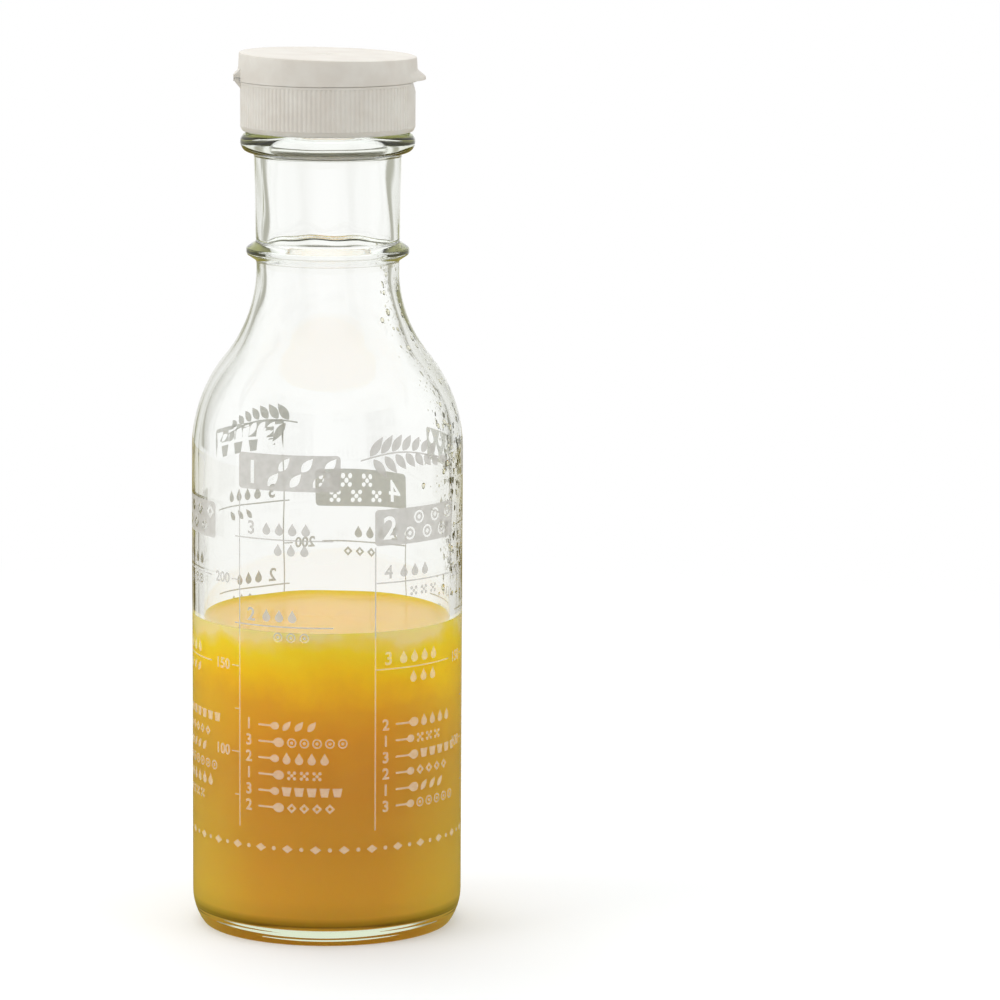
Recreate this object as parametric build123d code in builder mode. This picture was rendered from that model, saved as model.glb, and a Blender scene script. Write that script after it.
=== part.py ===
from build123d import *
import math
import os

os.makedirs("parts", exist_ok=True)

# Glass bottle: heights add up from the table, radii are measured from the upright axis
body_radius = 31.0
body_height = 110.0
wall = 2.6
heel_height = 7.5
bearing_radius = 28.4
bearing_width = 2.5
bearing_round = 0.8
push_up = 1.5
base_thickness = 2.4
floor_round = 7.0
shoulder_rise = 41.0
shoulder_crown_share = 0.53
neck_radius = 16.3
neck_flare = 0.5
bore_radius = 14.0
ring_rise = 4.4
ring_reach = 2.2
ring_root_height = 4.2
ring_tip_height = 1.3
ring_round = 0.5
neck_length = 24.7
bead_reach = 2.35
bead_half_height = 2.35
finish_radius = 17.55
finish_height = 11.9
rim_round = 0.9

# Dressing inside the bottle
fill_height = 71.0
contents_clearance = 0.05

# Screw thread: the bottle's ridge and the cap's ridge share one pitch
thread_pitch = 4.233
thread_depth = 1.0
thread_root_width = 2.4
thread_crest_width = 1.0
thread_turns = 1.25
thread_top_drop = 2.3
thread_fade_share = 0.08
sections_per_turn = 12
ridge_root_width = 1.8
ridge_crest_width = 0.7
ridge_turns = 1.0
ridge_start_share = 0.28
ridge_drop_share = 0.4
thread_clearance = 0.25
thread_sink = 0.3

# Screw cap: skirt, deck and pour spout
cap_wall = 1.05
rib_depth = 0.35
rib_pitch = 1.05
rib_margin = 0.6
skirt_clearance = 0.2
skirt_chamfer = 1.0
liner_thickness = 0.8
liner_width = 6.0
liner_clearance = 0.2
deck_thickness = 1.2
spout_height = 3.0
spout_wall = 0.9
spout_flare = 1.0
orifice_radius = 4.0
snap_ring_height = 1.0
snap_ring_width = 1.0
snap_clearance = 0.35
recess_width = 15.0
scoop_depth = 1.3
scoop_height = 2.4

# Flip lid, highest beside its hinge and lowest above its thumb tab
lid_gap = 0.15
lid_overhang = 0.2
lid_wall = 1.5
lid_draft = 0.25
lid_height = 5.85
lid_slope = 1.0
lid_top_thickness = 1.2
lid_edge_round = 0.5
plug_clearance = 0.25
plug_depth = 1.6
plug_wall = 0.8
plug_chamfer = 0.4
tab_width = 16.0
tab_reach = 1.8
tab_height = 2.2
tab_tip_height = 0.7
tab_lift = 0.2

# Living hinge on the side opposite the thumb tab
hinge_width = 11.0
hinge_reach = 0.7
hinge_lift = 0.85
hinge_gap = 0.2
hinge_side_gap = 0.3
hinge_flat = 0.7
hinge_slope_height = 1.3
film_thickness = 0.3
film_height = 1.4
film_margin = 0.3

# One overrun for every cut
overrun = 1.0

# Heights on the bottle, from the table up
shoulder_top = body_height + shoulder_rise
ring_height = shoulder_top + ring_rise
bead_height = ring_height + neck_length
rim_height = bead_height + finish_height
cavity_floor = push_up + base_thickness
cavity_radius = body_radius - wall

# Radii and heights on the cap, from the bottle out
cap_bore_radius = finish_radius + thread_depth + thread_clearance
cap_root_radius = cap_bore_radius + cap_wall
cap_radius = cap_root_radius + rib_depth
skirt_bottom = bead_height + bead_half_height + skirt_clearance
deck_bottom = rim_height + liner_thickness
deck_top = deck_bottom + deck_thickness
spout_top = deck_top + spout_height
rib_bottom = skirt_bottom + skirt_chamfer
rib_top = deck_top - rib_margin

# Radii and heights on the lid, from the cap out
lid_bottom = deck_top + lid_gap
lid_radius = cap_radius + lid_overhang
lid_inner_radius = lid_radius - lid_wall
lid_top = lid_bottom + lid_height
lid_ceiling = lid_top - lid_slope / 2 - lid_top_thickness
hinge_height = deck_top + hinge_lift
hinge_face = cap_radius + hinge_reach
hinge_root = lid_inner_radius + (lid_wall - lid_overhang) / 3


def shoulder_turn(low_radius, high_radius, share):
    """The point on the line between the shoulder's ends where its crown arc meets its hollow arc."""
    radius = low_radius + (high_radius - low_radius) * share
    height = body_height + shoulder_rise * share
    return (radius, height)


def cavity_outline(clearance):
    """Draws the bottle's inner outline, from the floor to the rim, pulled in by a clearance."""
    side_radius = cavity_radius - clearance
    floor_height = cavity_floor + clearance
    corner_height = cavity_floor + floor_round
    corner_radius = cavity_radius - floor_round
    turn = shoulder_turn(cavity_radius, bore_radius, inner_crown_share)
    turn = (turn[0] - clearance, turn[1])
    top_radius = bore_radius - clearance
    Line((0, floor_height), (corner_radius, floor_height))
    TangentArc((corner_radius, floor_height), (side_radius, corner_height), tangent=(1, 0))
    Line((side_radius, corner_height), (side_radius, body_height))
    TangentArc((side_radius, body_height), turn, tangent=(0, 1))
    TangentArc((top_radius, shoulder_top), turn, tangent=(0, -1))
    Line((top_radius, shoulder_top), (top_radius, rim_height + overrun))
    Line((top_radius, rim_height + overrun), (0, rim_height + overrun))
    Line((0, rim_height + overrun), (0, floor_height))


def helix_ridge(wall_radius, crest_radius, root_width, crest_width, turns, low_height, start_share):
    """A helical ridge on a wall, right handed, that sinks away at both ends."""
    reach = crest_radius - wall_radius
    sink = math.copysign(thread_sink, reach)
    path = Helix(thread_pitch, thread_pitch * turns, wall_radius, center=(0, 0, low_height))
    steps = math.ceil(sections_per_turn * turns)
    full_places = [thread_fade_share + (1 - 2 * thread_fade_share) * step / steps for step in range(steps + 1)]
    sections = []
    for place in (0, *full_places, 1):
        size = 0 if place in (0, 1) else 1
        tip = reach * size - sink / 2 * (1 - size)
        turn = math.tau * turns * place
        outward = Vector(math.cos(turn), math.sin(turn), 0)
        across = path % place
        plane = Plane(origin=path @ place, x_dir=outward, z_dir=across)
        half_root = root_width / 2
        half_crest = crest_width / 2
        corners = [(-sink, -half_root), (tip, -half_crest), (tip, half_crest), (-sink, half_root)]
        sections.append(plane * Polygon(*corners, align=None))
    ridge = sweep(sections=sections, path=path, multisection=True, is_frenet=True)
    return ridge.rotate(Axis.Z, math.degrees(math.tau * start_share))


# The shoulder's inner arcs run parallel to its outer ones
shoulder_drop = body_radius - neck_radius
shoulder_arcs_radius = (shoulder_rise**2 + shoulder_drop**2) / (2 * shoulder_drop)
inner_crown_share = shoulder_crown_share - wall / shoulder_arcs_radius

# The bottle's thread and the ridge inside the cap, which lies under it
thread_low = rim_height - thread_top_drop - thread_pitch * thread_turns
bottle_thread = helix_ridge(finish_radius, finish_radius + thread_depth, thread_root_width,
                            thread_crest_width, thread_turns, thread_low, 0)
ridge_low = thread_low + thread_pitch * (ridge_start_share - ridge_drop_share)
cap_ridge = helix_ridge(cap_bore_radius, finish_radius + thread_clearance, ridge_root_width,
                        ridge_crest_width, ridge_turns, ridge_low, ridge_start_share)

# Glass bottle: body, heel, shoulder, ringed neck, transfer bead and finish in one turned outline
ring_root = neck_radius + neck_flare * ring_rise / (ring_rise + neck_length)
outer_turn = shoulder_turn(body_radius, neck_radius, shoulder_crown_share)
with BuildPart() as glass_bottle:
    with BuildSketch(Plane.XZ) as bottle_section:
        with BuildLine():
            inner_bearing = bearing_radius - bearing_width
            ThreePointArc((-inner_bearing, 0), (0, push_up), (inner_bearing, 0))
            Line((inner_bearing, 0), (bearing_radius, 0))
            TangentArc((body_radius, heel_height), (bearing_radius, 0), tangent=(0, -1))
            Line((body_radius, heel_height), (body_radius, body_height))
            TangentArc((body_radius, body_height), outer_turn, tangent=(0, 1))
            TangentArc((neck_radius, shoulder_top), outer_turn, tangent=(0, -1))
            Line((neck_radius, shoulder_top), (neck_radius + neck_flare, bead_height))
            Line((neck_radius + neck_flare, bead_height), (finish_radius, bead_height))
            Line((finish_radius, bead_height), (finish_radius, rim_height))
            Line((finish_radius, rim_height), (-inner_bearing, rim_height))
            Line((-inner_bearing, rim_height), (-inner_bearing, 0))
        make_face()
        with Locations((finish_radius, bead_height)):
            Ellipse(bead_reach, bead_half_height)
        with BuildLine():
            ring_foot = (bore_radius, ring_height - ring_root_height / 2)
            ring_head = (bore_radius, ring_height + ring_root_height / 2)
            FilletPolyline(
                ring_foot,
                (ring_root, ring_height - ring_root_height / 2),
                (ring_root + ring_reach, ring_height - ring_tip_height / 2),
                (ring_root + ring_reach, ring_height + ring_tip_height / 2),
                (ring_root, ring_height + ring_root_height / 2),
                ring_head,
                radius=ring_round,
            )
            Line(ring_head, ring_foot)
        make_face()
        with BuildLine():
            cavity_outline(0)
        make_face(mode=Mode.SUBTRACT)
        with Locations((-body_radius / 2, rim_height / 2)):
            Rectangle(body_radius, rim_height + overrun, mode=Mode.SUBTRACT)
        fillet(bottle_section.vertices().group_by(Axis.Y)[-1], rim_round)
        outer_bearing = bottle_section.vertices().group_by(Axis.Y)[0].sort_by(Axis.X)[-1]
        fillet(outer_bearing, bearing_round)
    revolve(axis=Axis.Z)
    add(bottle_thread)
glass_bottle.part.label = "glass_bottle"

# Dressing: fills the bottle up to its level
with BuildPart() as dressing:
    with BuildSketch(Plane.XZ):
        with BuildLine():
            cavity_outline(contents_clearance)
        make_face()
        with Locations((0, fill_height)):
            Rectangle(body_radius, rim_height, align=(Align.MIN, Align.MIN), mode=Mode.SUBTRACT)
    revolve(axis=Axis.Z)
dressing.part.label = "dressing"

# Cap liner: a sealing ring between the bottle's rim and the cap's deck
liner_radius = cap_bore_radius - liner_clearance
with BuildPart() as cap_liner:
    with BuildSketch(Plane.XY.offset(rim_height)):
        Circle(liner_radius)
        Circle(liner_radius - liner_width, mode=Mode.SUBTRACT)
    extrude(amount=liner_thickness)
cap_liner.part.label = "cap_liner"

# Screw cap: ribbed skirt, deck, raised spout, snap ring, thread ridge and hinge boss
rib_count = round(math.tau * cap_root_radius / rib_pitch)
rib_places = []
for number in range(rib_count):
    turn = math.tau * number / rib_count
    x = cap_root_radius * math.cos(turn)
    y = cap_root_radius * math.sin(turn)
    in_recess = x > 0 and abs(y) < recess_width / 2
    in_hinge = x < 0 and abs(y) < hinge_width / 2
    if not in_recess and not in_hinge:
        rib_places.append((x, y))
snap_ring_radius = lid_inner_radius - snap_clearance
spout_base_radius = orifice_radius + spout_wall + spout_flare
with BuildPart() as screw_cap:
    with BuildSketch(Plane.XZ):
        with BuildLine():
            Polyline(
                (cap_bore_radius, skirt_bottom),
                (cap_root_radius - skirt_chamfer / 2, skirt_bottom),
                (cap_root_radius, rib_bottom),
                (cap_root_radius, rib_top),
                (cap_radius, rib_top),
                (cap_radius, deck_top),
                (snap_ring_radius, deck_top),
                (snap_ring_radius, deck_top + snap_ring_height),
                (snap_ring_radius - snap_ring_width, deck_top + snap_ring_height),
                (snap_ring_radius - snap_ring_width, deck_top),
                (spout_base_radius, deck_top),
                (orifice_radius + spout_wall, spout_top),
                (orifice_radius, spout_top),
                (orifice_radius, deck_bottom),
                (cap_bore_radius, deck_bottom),
                close=True,
            )
        make_face()
    revolve(axis=Axis.Z)
    with BuildSketch(Plane.XY.offset(rib_bottom)):
        with Locations(*rib_places):
            Circle(rib_depth)
    extrude(amount=rib_top - rib_bottom)
    with BuildSketch(Plane.XZ):
        with BuildLine():
            Polyline(
                (-hinge_root, hinge_height - hinge_gap / 2),
                (-hinge_face, hinge_height - hinge_gap / 2),
                (-hinge_face, hinge_height - hinge_flat),
                (-cap_root_radius, hinge_height - hinge_flat - hinge_slope_height),
                (-hinge_root, hinge_height - hinge_flat - hinge_slope_height),
                close=True,
            )
        make_face()
    extrude(amount=hinge_width / 2, both=True)
    with BuildSketch(Plane.XZ):
        with BuildLine():
            Polyline(
                (cap_radius - scoop_depth, deck_top),
                (cap_radius + overrun, deck_top),
                (cap_radius + overrun, deck_top - scoop_height),
                (cap_root_radius, deck_top - scoop_height),
                close=True,
            )
        make_face()
    extrude(amount=recess_width / 2, both=True, mode=Mode.SUBTRACT)
    add(cap_ridge)
screw_cap.part.label = "screw_cap"

# Thumb tab: a thin wedge round the lid's edge, cut to a crescent
tab_bottom = lid_bottom + tab_lift
tab_chord = math.sqrt(lid_radius**2 - (tab_width / 2) ** 2)
tab_root = lid_inner_radius + lid_wall / 3
with BuildPart() as thumb_tab:
    with BuildSketch(Plane.XZ):
        with BuildLine():
            Polyline(
                (tab_root, tab_bottom),
                (lid_radius + tab_reach, tab_bottom),
                (lid_radius + tab_reach, tab_bottom + tab_tip_height),
                (lid_radius - lid_draft, tab_bottom + tab_height),
                (tab_root, tab_bottom + tab_height),
                close=True,
            )
        make_face()
    revolve(axis=Axis.Z)
    with BuildSketch(Plane.XY.offset(tab_bottom)):
        with BuildLine():
            ThreePointArc((tab_chord, -tab_width / 2), (lid_radius + tab_reach, 0), (tab_chord, tab_width / 2))
            Line((tab_chord, tab_width / 2), (tab_chord, -tab_width / 2))
        make_face()
    extrude(amount=tab_height, mode=Mode.INTERSECT)

# Flip lid: drafted shell with a sloping top, sealing plug, thumb tab and hinge boss
plug_radius = orifice_radius - plug_clearance
plug_bottom = spout_top - plug_depth
with BuildPart() as flip_lid:
    with BuildSketch(Plane.XZ):
        with BuildLine():
            Polyline(
                (0, lid_top + lid_slope),
                (lid_radius - lid_draft, lid_top + lid_slope),
                (lid_radius - lid_draft, lid_top - lid_slope),
                (lid_radius, lid_bottom),
                (lid_inner_radius, lid_bottom),
                (lid_inner_radius, lid_ceiling),
                (plug_radius, lid_ceiling),
                (plug_radius, plug_bottom + plug_chamfer),
                (plug_radius - plug_chamfer, plug_bottom),
                (plug_radius - plug_wall, plug_bottom),
                (plug_radius - plug_wall, lid_ceiling),
                (0, lid_ceiling),
                close=True,
            )
        make_face()
    revolve(axis=Axis.Z)
    with BuildSketch(Plane.XZ):
        with BuildLine():
            edge = lid_radius + overrun
            edge_drop = lid_slope / 2 * edge / lid_radius
            Polyline(
                (-edge, lid_top + edge_drop),
                (edge, lid_top - edge_drop),
                (edge, lid_top + 2 * lid_slope),
                (-edge, lid_top + 2 * lid_slope),
                close=True,
            )
        make_face()
    extrude(amount=edge, both=True, mode=Mode.SUBTRACT)
    fillet(flip_lid.faces().sort_by(Axis.Z)[-1].edges(), lid_edge_round)
    with BuildSketch(Plane.XZ):
        with Locations((-lid_radius, lid_bottom)):
            notch_height = hinge_height + hinge_gap / 2 - lid_bottom
            Rectangle(2 * lid_wall, 2 * notch_height)
    extrude(amount=hinge_width / 2 + hinge_side_gap, both=True, mode=Mode.SUBTRACT)
    with BuildSketch(Plane.XZ):
        with BuildLine():
            Polyline(
                (-hinge_root, hinge_height + hinge_gap / 2),
                (-hinge_face, hinge_height + hinge_gap / 2),
                (-hinge_face, hinge_height + hinge_flat),
                (-lid_radius + lid_draft, hinge_height + hinge_flat + hinge_slope_height),
                (-hinge_root, hinge_height + hinge_flat + hinge_slope_height),
                close=True,
            )
        make_face()
    extrude(amount=hinge_width / 2, both=True)
    add(thumb_tab.part)
flip_lid.part.label = "flip_lid"

# Living hinge: a thin film across the gap between the two hinge bosses
with BuildPart() as living_hinge:
    with BuildSketch(Plane.XZ):
        with Locations((-hinge_face - film_thickness / 2, hinge_height)):
            Rectangle(film_thickness, film_height)
    extrude(amount=hinge_width / 2 - film_margin, both=True)
living_hinge.part.label = "living_hinge"

for piece in (glass_bottle, dressing, cap_liner, screw_cap, flip_lid, living_hinge):
    export_step(piece.part, f"parts/{piece.part.label}.step")
    print(piece.part.label, round(piece.part.volume, 1), piece.part.bounding_box().size)
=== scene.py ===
import math
import bmesh
import bpy
import numpy as np
from mathutils import Matrix, Vector
from mathutils.geometry import interpolate_bezier


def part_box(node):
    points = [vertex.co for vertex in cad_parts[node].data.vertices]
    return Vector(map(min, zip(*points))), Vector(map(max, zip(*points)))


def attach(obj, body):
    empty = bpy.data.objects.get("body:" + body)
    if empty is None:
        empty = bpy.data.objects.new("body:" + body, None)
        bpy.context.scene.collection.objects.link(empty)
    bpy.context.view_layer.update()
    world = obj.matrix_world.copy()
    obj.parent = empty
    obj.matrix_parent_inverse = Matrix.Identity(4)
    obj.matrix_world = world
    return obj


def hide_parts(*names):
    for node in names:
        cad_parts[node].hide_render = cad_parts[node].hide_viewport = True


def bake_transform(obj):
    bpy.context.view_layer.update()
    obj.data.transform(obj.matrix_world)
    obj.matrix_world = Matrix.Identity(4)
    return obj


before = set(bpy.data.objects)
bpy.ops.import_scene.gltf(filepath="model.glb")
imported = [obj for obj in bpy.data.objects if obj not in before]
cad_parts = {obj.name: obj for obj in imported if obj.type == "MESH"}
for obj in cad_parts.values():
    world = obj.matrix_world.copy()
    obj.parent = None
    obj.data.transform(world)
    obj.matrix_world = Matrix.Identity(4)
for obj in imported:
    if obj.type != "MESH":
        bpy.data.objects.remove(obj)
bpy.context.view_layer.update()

# Shapes are worked out in millimetres, in the frame of the CAD model, and become metres in their mesh.
mm = 0.001


def boxInMm(node):
    low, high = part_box(node)
    return np.array(low) / mm, np.array(high) / mm


glassHigh = boxInMm("glass_bottle")[1]
fillLow, fillHigh = boxInMm("dressing")
capLow, capHigh = boxInMm("screw_cap")
lidLow, lidHigh = boxInMm("flip_lid")
filmLow, filmHigh = boxInMm("living_hinge")
print("frame loaded, bottle", glassHigh.round(2), "lid", lidHigh.round(2))


# Shape helpers

# Two rows of numbers side by side, as a list of points. A single number goes with each one of the other row.
def pairs(across, up):
    return np.stack(np.broadcast_arrays(across, up), axis=-1)


# Points turned by an angle about the origin: x cos a - y sin a across, and x sin a + y cos a up.
def spun(across, up, turn):
    return pairs(across * np.cos(turn) - up * np.sin(turn), across * np.sin(turn) + up * np.cos(turn))


# Radius and height, both rows by columns, turned round the upright axis: x = r cos a, y = r sin a, z =
# height.
def turned(radius, height, angle):
    radius, height, angle = np.broadcast_arrays(radius, height, angle)
    return np.stack([radius * np.cos(angle), radius * np.sin(angle), height], axis=-1)


def linkObject(name, data):
    item = bpy.data.objects.new(name, data)
    bpy.context.scene.collection.objects.link(item)
    return item


# A surface on a grid: rows follow the profile and columns go round it, and each four neighbours make a quad
# that faces away from the axis where rows climb. A pole closes the first or last row with a fan of triangles.
def gridPiece(name, points, closedRows=False, lowPole=None, highPole=None, sharpAngle=40):
    rows, columns = points.shape[:2]
    number = np.arange(rows * columns).reshape(rows, columns)
    below = number if closedRows else number[:-1]
    above = np.roll(number, -1, axis=0) if closedRows else number[1:]
    quads = np.stack([below, np.roll(below, -1, 1), np.roll(above, -1, 1), above], axis=-1)
    verts = points.reshape(-1, 3).tolist()
    faces = quads.reshape(-1, 4).tolist()
    for row, pole, order in ((number[0], lowPole, 1), (number[-1], highPole, -1)):
        if pole is not None:
            fan = np.stack([np.full(columns, len(verts)), np.roll(row, -1), row], axis=-1)
            faces += fan[:, ::order].tolist()
            verts.append(list(pole))
    mesh = bpy.data.meshes.new(name)
    mesh.from_pydata((np.array(verts) * mm).tolist(), [], faces)
    mesh.shade_smooth()
    mesh.set_sharp_from_angle(angle=math.radians(sharpAngle))
    return linkObject(name, mesh)


# An outline is a list of (radius, height) points. This is the arc that leaves start along direction and ends
# at end. Its centre lies on the normal at start, at the squared distance to end over twice that distance's
# part along the normal, and it turns by twice the chord's own turn.
def arcTo(start, direction, end, count=40):
    start, end, ahead = (np.array(value, float) for value in (start, end, direction))
    normal = np.array([-ahead[1], ahead[0]])
    across = end - start
    centre = start + normal * (across @ across) / (2 * across @ normal)
    turns = np.linspace(0, 2 * math.atan2(across @ normal, across @ ahead), count)
    return centre + spun(*(start - centre), turns)


# Softens every corner as fire does to glass: the outline is cut into even steps, and each point becomes the
# mean of its neighbours, weighted by a bell curve. Both ends lie on the axis, so the outline is mirrored past
# them.
def softened(outline, softness, step=0.1):
    lengths = np.concatenate([[0], np.cumsum(np.linalg.norm(np.diff(outline, axis=0), axis=1))])
    places = np.linspace(0, lengths[-1], round(lengths[-1] / step))
    span = round(3 * softness / step)
    bell = np.exp(-0.5 * (np.arange(-span, span + 1) * step / softness) ** 2)
    bell /= bell.sum()
    radius = np.pad(np.interp(places, lengths, outline[:, 0]), span, mode="reflect", reflect_type="odd")
    height = np.pad(np.interp(places, lengths, outline[:, 1]), span, mode="reflect")
    return pairs(np.convolve(radius, bell, mode="valid"), np.convolve(height, bell, mode="valid"))


# Picks rows along an outline: one whenever its length over stepLimit, plus its turning over turnLimit, plus
# the extra rows for each millimetre, has grown by one.
def pickRows(outline, stepLimit, turnLimit, extra):
    edges = np.diff(outline, axis=0)
    steps = np.linalg.norm(edges, axis=1)
    heading = np.unwrap(np.arctan2(edges[:, 1], edges[:, 0]))
    turning = np.abs(np.diff(heading, prepend=heading[0]))
    need = steps / stepLimit + turning / math.radians(turnLimit) + steps * extra[1:]
    total = np.concatenate([[0], np.cumsum(need)])
    wanted = np.linspace(0, total[-1], math.ceil(total[-1]) + 1)
    return np.interp(wanted, total, np.arange(len(outline)))


# A helical ridge as a height field: its centre climbs one pitch a turn from low, its sides slope from the
# root's width to the crest's, and it fades over the first and last part of its length.
def ridgeHeight(angle, height, low, startAngle, size):
    tallest = np.zeros(np.broadcast(angle, height).shape)
    for lap in range(math.ceil(size["turns"]) + 1):
        along = ((angle - startAngle) / math.tau) % 1 + lap
        ends = np.clip(np.minimum(along, size["turns"] - along) / (size["turns"] * size["fadeShare"]), 0, 1)
        off = np.abs(height - low - size["pitch"] * along)
        slope = np.clip((size["root"] / 2 - off) / ((size["root"] - size["crest"]) / 2), 0, 1)
        tallest = np.maximum(tallest, size["depth"] * slope * ends * ends * (3 - 2 * ends))
    return tallest


# Material helpers

# The sRGB curve undone: a dark part is divided by 12.92, any other is ((c + 0.055) / 1.055) to the power of
# 2.4.
def linear(hexColour):
    parts = np.array([int(hexColour[place:place + 2], 16) / 255 for place in (1, 3, 5)])
    parts = np.where(parts <= 0.04045, parts / 12.92, ((parts + 0.055) / 1.055) ** 2.4)
    return (*parts.tolist(), 1.0)


# Adds one node. Settings go to its own fields or to its inputs, and stops to its colour ramp. Links say which
# output an input comes from, or which node, and then it is that node's first output.
def addNode(tree, kind, settings=None, links=None, stops=()):
    node = tree.nodes.new("ShaderNode" + kind)
    for key, value in (settings or {}).items():
        if isinstance(key, str) and hasattr(node, key):
            setattr(node, key, value)
        else:
            node.inputs[key].default_value = value
    for key, source in (links or {}).items():
        tree.links.new(getattr(source, "outputs", [source])[0], node.inputs[key])
    if stops:
        elements = node.color_ramp.elements
        while len(elements) < len(stops):
            elements.new(0.5)
        for element, (place, colour) in zip(elements, stops):
            element.position = place
            element.color = linear(colour)
    return node


def newTree(name):
    material = bpy.data.materials.new(name)
    material.use_nodes = True
    material.node_tree.nodes.clear()
    return material, material.node_tree


# A shader with one texture of a real size in millimetres. The texture gives the colour, through stops at
# shares of its value, and the relief, which has a strength and a depth in millimetres.
def patternedShader(tree, look):
    place = addNode(tree, "TexCoord").outputs["Object"]
    scale = {"Scale": 1 / (look["size"] * mm), "Detail": look["detail"]}
    pattern = addNode(tree, look["texture"], scale, {"Vector": place})
    links = {}
    if "stops" in look:
        links["Base Color"] = addNode(tree, "ValToRGB", {}, {"Fac": pattern}, look["stops"])
    if "relief" in look:
        strength, depth = look["relief"]
        links["Normal"] = addNode(tree, "Bump", {"Strength": strength, "Distance": depth * mm},
                                  {"Height": pattern})
    return addNode(tree, "BsdfPrincipled", look["surface"], links)


# Light for shadows goes straight through, tinted, and any other light meets the shader.
def lettingLightThrough(tree, shader, tint):
    through = addNode(tree, "BsdfTransparent", {"Color": linear(tint)})
    path = addNode(tree, "LightPath")
    return addNode(tree, "MixShader", {}, {0: path.outputs["Is Shadow Ray"], 1: shader, 2: through})


glassLook = dict(
    texture="TexNoise", size=14.0, detail=1.5, relief=(0.5, 0.006), tint="#FAFCF8", absorb="#ECF5E1",
    density=27.0, mostMirrors=2.5, caught="#ABAA6E",
    surface={"Base Color": linear("#FFFFFF"), "Roughness": 0.0, "IOR": 1.52, "Transmission Weight": 1.0})


# Soda-lime glass, blown in a mould: clear, with dark edges, a faint green where the light's way through it is
# long, and a slow ripple from the mould. Light that a ring has caught and mirrored more than mostMirrors
# times leaves it with the olive tint of its long way.
def sodaLimeGlass():
    material, tree = newTree("sodaLimeGlassMoulded")
    glass = patternedShader(tree, glassLook)
    path = addNode(tree, "LightPath")
    caught = addNode(tree, "Math", {"operation": "GREATER_THAN", 1: glassLook["mostMirrors"]},
                     {0: path.outputs["Glossy Depth"]})
    leaving = addNode(tree, "BsdfTransparent", {"Color": linear(glassLook["caught"])})
    seen = addNode(tree, "MixShader", {}, {0: caught, 1: glass, 2: leaving})
    surface = lettingLightThrough(tree, seen, glassLook["tint"])
    depth = addNode(tree, "VolumeAbsorption",
                    {"Color": linear(glassLook["absorb"]), "Density": glassLook["density"]})
    addNode(tree, "OutputMaterial", {}, {"Surface": surface, "Volume": depth})
    return material


plasticLook = dict(
    stops=[(0.35, "#D3CDC3"), (0.65, "#DBD7CE")], mottle=6.0, mottleDetail=3.0, grain=0.45, grainDetail=2.0,
    relief=(0.6, 0.02), roughness=(0.34, 0.46), ior=1.49, sinking=0.12, sinkDepth=1.2,
    sinkColours=(1.0, 0.85, 0.7))


# Polypropylene, injection moulded: a warm off-white with a satin sheen, light that sinks in a little, and the
# fine grain of a spark-eroded mould, drawn here as coarse as it needs to show.
def polypropylene():
    look = plasticLook
    material, tree = newTree("polypropyleneMoulded")
    place = addNode(tree, "TexCoord").outputs["Object"]
    mottle = addNode(tree, "TexNoise",
                     {"Scale": 1 / (look["mottle"] * mm), "Detail": look["mottleDetail"]}, {"Vector": place})
    colour = addNode(tree, "ValToRGB", {}, {"Fac": mottle}, look["stops"])
    rough = addNode(tree, "MapRange", {"To Min": look["roughness"][0], "To Max": look["roughness"][1]},
                    {"Value": mottle})
    grain = addNode(tree, "TexNoise",
                    {"Scale": 1 / (look["grain"] * mm), "Detail": look["grainDetail"]}, {"Vector": place})
    bump = addNode(tree, "Bump", {"Strength": look["relief"][0], "Distance": look["relief"][1] * mm},
                   {"Height": grain})
    shader = addNode(tree, "BsdfPrincipled",
                     {"IOR": look["ior"], "Subsurface Weight": look["sinking"],
                      "Subsurface Scale": look["sinkDepth"] * mm, "Subsurface Radius": look["sinkColours"]},
                     {"Base Color": colour, "Roughness": rough, "Normal": bump})
    addNode(tree, "OutputMaterial", {}, {"Surface": shader})
    return material


# The plain finishes, each patterned by one texture. Polyethylene foam, extruded and punched, is matt, with
# closed cells about a third of a millimetre across. Ceramic ink, screen printed and fired, is a thin warm
# white film, a little uneven from the screen. It comes in two painted copies: above the fill line it is
# painted grey, a painted shade for how dim it stands against a bright room, and over the filling it is
# painted paler, warmer and thinner, a painted glow for the filling's light showing through it. Chopped dried
# herbs and pepper that stuck to the wet glass are dull olive and brown, mottled from piece to piece.
inkGrain = dict(texture="TexNoise", size=1.4, detail=2.0, relief=(0.4, 0.01))
plainLooks = dict(
    polyethyleneFoam=dict(
        texture="TexVoronoi", size=0.35, detail=0.0, relief=(0.8, 0.05),
        stops=[(0.1, "#D8D5CC"), (0.6, "#EFEDE6")], surface={"Roughness": 0.8}),
    ceramicInkPaintedShadeOnClearGlass=dict(
        inkGrain, stops=[(0.35, "#C1BEB7"), (0.65, "#CAC7C1")], surface={"Roughness": 0.5, "Alpha": 0.8}),
    ceramicInkPaintedGlowOverFilling=dict(
        inkGrain, stops=[(0.35, "#F2E6D2"), (0.65, "#FBF3E4")], surface={"Roughness": 0.5, "Alpha": 0.36}),
    driedHerbsAndPepper=dict(
        texture="TexNoise", size=2.0, detail=3.0,
        stops=[(0.3, "#2B2A20"), (0.5, "#4B4A38"), (0.7, "#716F55")], surface={"Roughness": 0.6}))


def plainFinish(name):
    material, tree = newTree(name)
    addNode(tree, "OutputMaterial", {}, {"Surface": patternedShader(tree, plainLooks[name])})
    return material


oilLook = dict(
    texture="TexNoise", size=9.0, detail=2.0, stops=[(0.4, "#F4F1DC"), (0.6, "#FBFAF0")], tint="#F0EFD8",
    surface={"Roughness": 0.02, "IOR": 1.4, "Transmission Weight": 1.0})


# Drops of thin oil and vinegar that ran back down the glass: clear, faintly yellow and bright edged.
def oilFilm():
    material, tree = newTree("oilAndVinegarDrops")
    surface = lettingLightThrough(tree, patternedShader(tree, oilLook), oilLook["tint"])
    addNode(tree, "OutputMaterial", {}, {"Surface": surface})
    return material
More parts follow.
